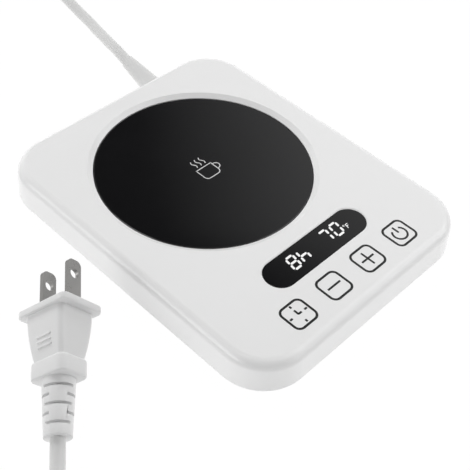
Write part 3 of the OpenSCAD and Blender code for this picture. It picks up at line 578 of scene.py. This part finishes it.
def cordRoute(coil, relief):
    lean = math.radians(relief["lean"])
    out = Vector((math.sin(lean), math.cos(lean), 0))
    root = Vector((relief["x"], relief["wallY"] + relief["collar"], relief["z"]))
    tip = root + relief["long"] * out
    turns = (coil["end"] - coil["start"]) / 360
    across = 0.5  # turns in which the cord climbs from the lower layer to the upper one
    leg = (turns - across) / 2
    squeeze = coil["outer"] - coil["inner"]

    def coilPoint(t):
        radius = coil["inner"]
        if t < leg:
            radius = coil["outer"] - squeeze * t / leg
        elif t > leg + across:
            radius = coil["inner"] + squeeze * (t - leg - across) / leg
        s = min(max((t - leg) / across, 0), 1)
        climb = s * s * (3 - 2 * s)  # from 0 to 1, level at both ends
        a = math.radians(coil["start"] + 360 * t)
        height = cordLook["thick"] / 2 + coil["lift"] + coil["layer"] * climb
        x, y = coil["centre"]
        return Vector((x + radius * math.cos(a), y + radius * math.sin(a), height))

    def heading(degrees):
        a = math.radians(degrees)
        return Vector((-math.sin(a), math.cos(a), 0))

    stub = cordLook["stub"]
    steps = math.ceil(turns * cordLook["rings"])
    inward, onward = stub * heading(coil["start"]), stub * heading(coil["end"])
    coilIn, coilOut = coilPoint(0) - inward, coilPoint(turns) + onward
    route = [tip, tip + stub * out, *map(Vector, leadRoute), coilIn - inward, coilIn]
    route += [coilPoint(turns * i / steps) for i in range(steps + 1)]
    route += [coilOut, coilOut + onward, *map(Vector, tailRoute)]
    route += [plugCordEnd - i * stub * plugAxis for i in (2, 1, 0)]
    return route


def makeCord(look):
    route = cordRoute(coilLook, reliefLook)
    line = bpy.data.curves.new("mainsCord", "CURVE")
    line.dimensions = "3D"
    line.resolution_u = look["steps"]
    line.bevel_depth = look["thick"] / 2 * mm
    line.bevel_resolution = look["arcs"]
    line.use_fill_caps = True
    spline = line.splines.new("BEZIER")
    spline.bezier_points.add(len(route) - 1)
    for knot, at in zip(spline.bezier_points, route):
        knot.co = at * mm
        knot.handle_left_type = knot.handle_right_type = "AUTO"
    cord = bpy.data.objects.new("mainsCord", line)
    bpy.context.scene.collection.objects.link(cord)
    dress(cord, "cordSleeve")
    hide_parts("cord_lead", "cord_coil", "cord_tail")
    return cord, route[0] * mm


mainsCord, cordExit = makeCord(cordLook)
print("cord laid out")


# plug moulding, made upright with its blades up and then laid in place

def makeFlange(look):
    width, depth, thick = look["flange"]
    made = plate(width, depth, (0, 0, -thick), look["flangeCorner"], facets["plug"])
    thicken(made, thick)
    soften(made, *look["flangeRim"], look["sharp"])
    return made


def makeGrip(look):
    # drawn out step by step, each section narrower than the last
    sink, steps = look["gripSink"], look["gripSteps"]
    (topWidth, topDepth), (endWidth, endDepth) = look["gripTop"], look["gripEnd"]
    top = -look["flange"][2] + sink
    made = plate(topWidth, topDepth, (0, 0, top), look["gripCorner"], facets["plug"])
    editing(made)
    pick("faces", lambda f: True, made)
    drawOut(0, 0, -sink)
    lastWidth, lastDepth = topWidth, topDepth
    for step in range(1, steps + 1):
        k = (step / steps) ** look["gripCurve"]
        width = topWidth + (endWidth - topWidth) * k
        depth = topDepth + (endDepth - topDepth) * k
        drawOut(0, 0, -look["grip"] / steps)
        bpy.ops.transform.resize(value=(width / lastWidth, depth / lastDepth, 1))
        lastWidth, lastDepth = width, depth
    closeShell()
    return made


def makeRing(look):
    width, depth, thick = look["ring"]
    sink = look["ringSink"]
    low = -look["flange"][2] - look["grip"] - thick
    made = plate(width, depth, (0, 0, low), look["ringCorner"], facets["plug"])
    thicken(made, thick + sink)
    soften(made, *look["ringRim"], look["sharp"])
    return made


def makeRidge(look, side, step):
    middle = look["ridgeLift"] - look["flange"][2] - look["ridgeAt"] * look["grip"]
    z = middle + step * look["ridgePitch"]
    y = side * (look["gripTop"][1] / 2 - look["ridgeSink"] + step * look["ridgeSlope"])
    made = block(look["ridge"], (0, y, z))
    soften(made, *look["ridgeRim"])
    return made


def slotCutter(look, turn, side, z):
    reach = 2 * look["reliefTop"]
    depth = reach - look["core"]
    made = block((reach, depth, look["slot"]))
    push = Matrix.Translation((0, side * (look["core"] + depth / 2) * mm, z * mm))
    made.data.transform(Matrix.Rotation(math.radians(turn), 4, "Z") @ push)
    return made


def makeRelief(look):
    # cone with slots in pairs, each pair a quarter turn from the last
    top = -look["flange"][2] - look["grip"] - look["ring"][2]
    long, sink = look["relief"], look["reliefSink"]
    freshStart()
    bpy.ops.mesh.primitive_cone_add(
        vertices=facets["relief"], depth=(long + sink) * mm,
        radius1=look["reliefEnd"] * mm, radius2=look["reliefTop"] * mm,
        location=(0, 0, (top - long / 2 + sink / 2) * mm))
    made = bpy.context.object
    settle(made)
    pairs = 2 * int(long // look["slotPitch"]) - 1
    cutters = []
    for i in range(pairs):
        z = top - look["slotStart"] - i / 2 * look["slotPitch"]
        cutters += [slotCutter(look, look["slotTurn"] + 90 * (i % 2), side, z) for side in (-1, 1)]
    knife = joinAs("reliefSlots", cutters)
    carve = made.modifiers.new("slots", "BOOLEAN")
    carve.operation, carve.solver, carve.object = "DIFFERENCE", "EXACT", knife
    endModifiers(made)
    bpy.data.objects.remove(knife)
    soften(made, *look["slotRim"])
    return made


def makePlug(look):
    parts = [makeFlange(look), makeGrip(look), makeRing(look), makeRelief(look)]
    parts += [makeRidge(look, side, step) for side in (-1, 1) for step in (-1, 0, 1)]
    plug = joinAs("plugMoulding", parts)
    plug.data.transform(plugMatrix)
    justThis(plug)
    bpy.ops.object.shade_smooth_by_angle(angle=math.radians(look["smooth"]))
    dress(plug, "plugMoulding")
    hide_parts("plug_body")
    return plug


plugPiece = makePlug(plugLook)
print("plug moulded")


# printed key outlines and signs on the shell's top

keyLook = {
    "height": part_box("top_shell")[1].z / mm, "ink": 0.035, "y": -61.4,
    "xs": (-29.3, -9.7, 10.0, 29.6), "size": 11.7, "corner": 2.9, "line": 0.96, "sign": 0.84,
    "barCorner": 0.2, "power": {"drop": 0.2, "radius": 3.05, "gap": 38},
}


def keyBars(line):
    # length, width, and place from the key's centre, of the bars in each key's sign
    hands = [(line, 2.4, 0, 1.0), (1.7, line, 0.85, 0)]
    hours = [(line, 1.2, 0, 4.0), (line, 1.2, 0, -3.8), (1.4, line, -3.8, 0), (1.4, line, 3.8, 0)]
    minus = [(6.9, line, 0, 0)]
    plus = [(6.8, line, 0, 0), (line, 3.1, 0, 1.83), (line, 3.1, 0, -1.83)]
    power = [(line, 3.4, 0, 2.0)]
    return [hands + hours, minus, plus, power]


def keyOutline(look, x):
    size = look["size"]
    made = plate(size, size, (x, look["y"], look["height"]), look["corner"], facets["key"])
    hollow(made, look["line"])
    return made


def openRing(x, y, z, radius, line, gap):
    # ring with a gap at its far side, spun from one short edge
    middle = (x * mm, y * mm, z * mm)
    made = plate(line, line, (x, y + radius, z))
    editing(made)
    pick("verts", lambda v: v.co.x > x * mm, made)
    bpy.ops.mesh.delete(type="VERT")
    bpy.ops.mesh.select_all(action="SELECT")
    bpy.ops.transform.translate(value=(line / 2 * mm, 0, 0))
    bpy.ops.transform.rotate(value=math.radians(gap), orient_axis="Z", center_override=middle)
    sweep = math.radians(360 - 2 * gap)
    bpy.ops.mesh.spin(steps=facets["power"], angle=sweep, center=middle, axis=(0, 0, 1))
    doneEditing()
    return made


def makeKeys(look):
    y, z, line, power = look["y"], look["height"], look["sign"], look["power"]
    prints = [keyOutline(look, x) for x in look["xs"]]
    for x, bars in zip(look["xs"], keyBars(line)):
        for long, wide, dx, dy in bars:
            middle = (x + dx, y + dy, z)
            prints.append(plate(long, wide, middle, look["barCorner"], facets["bar"]))
    x, ringY = look["xs"][-1], y - power["drop"]
    prints.append(openRing(x, ringY, z, power["radius"], line, power["gap"]))
    keys = joinAs("keyPrints", prints)
    thicken(keys, look["ink"])
    dress(keys, "keyInk")


makeKeys(keyLook)
print("keys printed")


# lit figures, a thin film on the window: slanted seven-segment bars

figureLook = {
    "height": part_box("display_window")[1].z / mm, "film": 0.03, "slant": 8.7,
    "tall": 6.9, "wide": 4.6, "bar": 0.94, "gap": 0.46, "tip": 0.72, "blunt": 0.22, "upTip": 0.5,
    "figures": [("abcdefg", -12.1, -43.6), ("cefg", -6.4, -43.6), ("abc", 7.15, -43.3),
                ("abcdef", 13.1, -43.3)],
    "unit": (17.75, -45.0),
    "unitBars": ((0.34, 2.1, -0.45, 0), (1.3, 0.34, 0.1, 0.9), (1.0, 0.34, 0, 0.05)),
    "degree": {"dx": -1.35, "dy": 0.95, "radius": 0.42, "line": 0.2},
}


def segment(look, length):
    # long hexagon: a plate whose short ends are drawn to points
    width = look["bar"]
    made = plate(length - width, width, (0, 0, 0))
    editing(made)
    for side in (-1, 1):
        pick("edges", lambda e: all(side * v.co.x > 0 for v in e.verts), made)
        drawOut(side * width / 2 * look["tip"], 0, 0)
        bpy.ops.transform.resize(value=(1, look["blunt"], 1))
    doneEditing()
    return made


def degreeRing(look, x, y):
    degree = look["degree"]
    freshStart()
    bpy.ops.mesh.primitive_circle_add(
        vertices=facets["dot"], radius=degree["radius"] * mm, fill_type="NGON",
        location=((x + degree["dx"]) * mm, (y + degree["dy"]) * mm, look["height"] * mm))
    made = bpy.context.object
    settle(made)
    hollow(made, degree["line"])
    return made


def makeFigures(look):
    tall, wide, thick, gap = look["tall"], look["wide"], look["bar"], look["gap"]
    acrossLong = wide - thick - 2 * gap + thick * look["tip"]
    upLong = tall / 2 - thick / 2 - 2 * gap + thick * look["upTip"]
    halfWide, halfTall = (wide - thick) / 2, (tall - thick) / 2
    spots = {
        "a": (0, halfTall, 0), "g": (0, 0, 0), "d": (0, -halfTall, 0),
        "b": (halfWide, halfTall / 2, 90), "c": (halfWide, -halfTall / 2, 90),
        "f": (-halfWide, halfTall / 2, 90), "e": (-halfWide, -halfTall / 2, 90),
    }
    lean = Matrix.Identity(4)
    lean[0][1] = math.tan(math.radians(look["slant"]))
    bars = []

    def lay(made, x, y, dx, dy, turn=0):
        spot = Matrix.Translation((x * mm, y * mm, look["height"] * mm))
        shift = Matrix.Translation((dx * mm, dy * mm, 0))
        made.data.transform(spot @ lean @ shift @ Matrix.Rotation(math.radians(turn), 4, "Z"))
        bars.append(made)

    for letters, x, y in look["figures"]:
        for letter in letters:
            dx, dy, turn = spots[letter]
            lay(segment(look, upLong if turn else acrossLong), x, y, dx, dy, turn)
    # small unit sign behind the right pair
    for length, width, dx, dy in look["unitBars"]:
        lay(plate(length, width, (0, 0, 0)), *look["unit"], dx, dy)
    bars.append(degreeRing(look, *look["unit"]))
    figures = joinAs("displayFigures", bars)
    thicken(figures, look["film"])
    dress(figures, "digitGlow")


makeFigures(figureLook)
print("figures lit")


# generic cup sign printed on the glass

signLook = {
    "height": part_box("heating_glass")[1].z / mm, "film": 0.03, "line": 0.42,
    "x": 0.0, "low": 10.5, "cup": (8.0, 6.6), "round": 1.8, "step": 15,
    "handle": (2.0, 1.7), "handleLift": 0.6,
    "steam": (-2.2, 0, 2.2), "sway": 0.5, "steamGap": 1.3, "steamTall": 4.2, "steamSteps": 14,
}


def arcPoints(centre, radii, start, end, step):
    # from start to end, in degrees, with a point at both
    (x, y), (wide, tall) = centre, radii
    steps = abs(end - start) // step
    turns = [math.radians(start + (end - start) * i / steps) for i in range(steps + 1)]
    return [(x + wide * math.cos(t), y + tall * math.sin(t)) for t in turns]


def strokeAlong(points, line, z):
    # flat ribbon along points, grown edge by edge
    freshStart()
    bpy.ops.mesh.primitive_plane_add(size=1)
    made = bpy.context.object
    editing(made)
    pick("verts", lambda v: v.co.y > 0, made)
    bpy.ops.mesh.delete(type="VERT")
    spine = [Vector((x, y, 0)) for x, y in points]
    lift = Vector((0, 0, z * mm))

    def across(i):
        ahead = spine[min(i + 1, len(spine) - 1)] - spine[max(i - 1, 0)]
        way = ahead.normalized()
        return Vector((-way.y, way.x, 0)) * line / 2

    def lay(pair, i):
        for vert, sign in zip(pair, (1, -1)):
            vert.co = (spine[i] + sign * across(i)) * mm + lift
        bmesh.update_edit_mesh(made.data)

    mesh = bmesh.from_edit_mesh(made.data)
    lay(sorted(mesh.verts, key=lambda v: v.co.x), 0)
    bpy.ops.mesh.select_all(action="SELECT")
    for i in range(1, len(spine)):
        drawOut(0, 0, 0)
        mesh = bmesh.from_edit_mesh(made.data)
        old = (spine[i - 1] + across(i - 1)) * mm
        pair = [v for v in mesh.verts if v.select]
        lay(sorted(pair, key=lambda v: (v.co.xy - old.xy).length), i)
    doneEditing()
    return made


def makeSign(look):
    x, low, line, r, step = look["x"], look["low"], look["line"], look["round"], look["step"]
    wide, tall = look["cup"]
    left, right, top = x - wide / 2, x + wide / 2, low + tall
    wall = [(left, top), *arcPoints((left + r, low + r), (r, r), 180, 270, step)]
    wall += [*arcPoints((right - r, low + r), (r, r), -90, 0, step), (right, top)]
    rim = [(left - line / 2, top), (right + line / 2, top)]
    middle = (right + line / 2, low + tall / 2 + look["handleLift"])
    lines = [wall, rim, arcPoints(middle, look["handle"], 90, -90, step)]
    steps = look["steamSteps"]
    for dx in look["steam"]:
        rise = [i / steps for i in range(steps + 1)]
        lines.append([(x + dx + look["sway"] * math.sin(t * 2 * math.pi),
                       top + look["steamGap"] + look["steamTall"] * t) for t in rise])
    sign = joinAs("cupSign", [strokeAlong(points, line, look["height"]) for points in lines])
    thicken(sign, look["film"])
    dress(sign, "glassPrint")


makeSign(signLook)
print("cup sign printed")


# finishes of the carried-over nodes

nodeFinishes = {
    "top_shell": "shellGloss", "bottom_cover": "coverMatte", "heating_glass": "hotplateGlass",
    "glass_seal": "sealSilicone", "heat_spreader": "rolledAluminium",
    "heating_element": "micaFoil", "heater_insulator": "glassFelt",
    "heater_retainer": "platedSteel", "retainer_screws": "screwSteel",
    "sensor_holder": "sealSilicone", "temperature_sensor": "glazedBead",
    "thermal_fuse": "tinnedMetal", "fuse_clip": "platedSteel", "main_board": "boardResist",
    "display_module": "partBlack", "display_window": "smokedWindow",
    "touch_springs": "giltSpring", "control_chip": "partBlack", "transformer": "coilTape",
    "smoothing_capacitor": "capSleeve", "filter_capacitor": "capDipped",
    "heater_triac": "partBlack", "buzzer": "partBlack", "board_fuse": "tinnedMetal",
    "mains_terminal": "terminalGreen", "board_screws": "screwSteel",
    "cord_clamp": "clampNylon", "clamp_screws": "screwSteel", "mains_wires": "wireSleeve",
    "heater_wires": "wireSleeve", "sensor_wires": "wireSleeve", "case_screws": "screwSteel",
    "rubber_feet": "footRubber", "cord_gland": "cordSleeve", "plug_blades": "bladeNickel",
}
for name, finish in nodeFinishes.items():
    nodes[name].data.materials.clear()
    nodes[name].data.materials.append(finishes[finish])
print("nodes dressed:", len(nodeFinishes))


# white studio: a floor like a lit table, a white world, a dark card and soft lamps

floorLook = {"size": 6, "z": -0.00004, "tone": 0.9, "glow": 0.97, "litShare": 0.5, "lit": 1.6}
worldLook = {"light": 0.13}
cardLook = {
    "azimuth": 42, "height": 46, "away": 1.0, "size": 1.4, "tone": 0.02,
    "cover": 0.70, "across": 2.9, "up": 0.6, "low": (0.04, 0.093), "rise": 0.42,
}
lampLooks = [
    {"name": "backSoftBox", "at": (0.61, 1.38, 1.36), "size": (1.6, 1.4),
     "power": 29.5, "gloss": False},
    {"name": "rightSoftBox", "at": (0.92, -0.49, 1.15), "size": (1.1, 1.1),
     "power": 6.6, "gloss": True},
    {"name": "frontSoftBox", "at": (0.90, -1.15, 0.62), "size": (1.6, 0.8),
     "power": 6.0, "gloss": True},
    {"name": "leftSoftBox", "at": (-1.34, 0.45, 0.60), "size": (1.4, 0.8),
     "power": 8.6, "gloss": True},
]


def seenRays(board):
    # 1 where the camera, gloss or glass looks, and 0 for all other light
    path = board.add("ShaderNodeLightPath")
    seen = path.out("Is Camera Ray").larger(path.out("Is Glossy Ray"))
    return seen.larger(path.out("Is Transmission Ray"))


def makeFloor(look):
    freshStart()
    bpy.ops.mesh.primitive_plane_add(size=look["size"], location=(0, 0, look["z"]))
    floor = bpy.context.object
    floor.name = "studioFloor"
    board = newFinish("studioFloor")
    paper = board.add("ShaderNodeBsdfDiffuse", None, {"Color": colour(look["tone"])}).out(0)
    table = board.mixShaders(look["litShare"], paper, board.glow(1.0, look["lit"]))
    mixed = board.mixShaders(seenRays(board) * look["glow"], table, board.glow(1.0, 1.0))
    board.add("ShaderNodeOutputMaterial", None, {"Surface": mixed})
    floor.data.materials.append(finishes["studioFloor"])


def makeWorld(look):
    world = bpy.data.worlds.new("studioWorld")
    bpy.context.scene.world = world
    world.use_nodes = True
    board = Board(world.node_tree)
    strength = seenRays(board) * (1 - look["light"]) + look["light"]
    sky = board.add("ShaderNodeBackground", None, {"Color": colour(1.0), "Strength": strength})
    board.add("ShaderNodeOutputWorld", None, {"Surface": sky.out(0)})


def makeCard(look):
    # dark card that only gloss sees, so the black glass fades from left to right as in a studio
    freshStart()
    bpy.ops.mesh.primitive_plane_add(size=look["size"], location=(0, 0, 0))
    card = bpy.context.object
    card.name = "darkCard"
    azimuth = math.radians(look["azimuth"])
    out = pointing(azimuth, math.radians(look["height"]))
    across = Vector((-math.sin(azimuth), math.cos(azimuth), 0))
    turn = Matrix([across, out.cross(across), out]).transposed()
    card.matrix_world = Matrix.Translation(out * look["away"]) @ turn.to_4x4()
    board = newFinish("darkCard")
    at = board.add("ShaderNodeTexCoord").out("Object")
    split = board.add("ShaderNodeSeparateXYZ", None, {0: at})
    x, y = split.out("X"), split.out("Y")
    low = board.clamp(y, 0.0, look["rise"], *look["low"])
    slope = x * look["across"] + y * look["up"]
    cover = board.clamp(slope + low + look["cover"], low=0.0, high=1.0)
    clear = board.add("ShaderNodeBsdfTransparent").out(0)
    mixed = board.mixShaders(cover, clear, board.glow(look["tone"], 1.0))
    board.add("ShaderNodeOutputMaterial", None, {"Surface": mixed})
    card.data.materials.append(finishes["darkCard"])
    card.visible_camera = card.visible_diffuse = False
    card.visible_shadow = card.visible_transmission = False


def makeLamp(look):
    # soft box aimed at the origin, under the middle of the base
    data = bpy.data.lights.new(look["name"], "AREA")
    data.shape = "RECTANGLE"
    data.size, data.size_y = look["size"]
    data.energy = look["power"]
    lamp = bpy.data.objects.new(look["name"], data)
    bpy.context.scene.collection.objects.link(lamp)
    lamp.location = look["at"]
    lamp.visible_glossy = look["gloss"]
    lamp.rotation_euler = (-Vector(look["at"])).to_track_quat("-Z", "Y").to_euler()


makeFloor(floorLook)
makeCard(cardLook)
makeWorld(worldLook)
for lampLook in lampLooks:
    makeLamp(lampLook)
bpy.context.scene.view_settings.view_transform = "Standard"
print("studio lit")
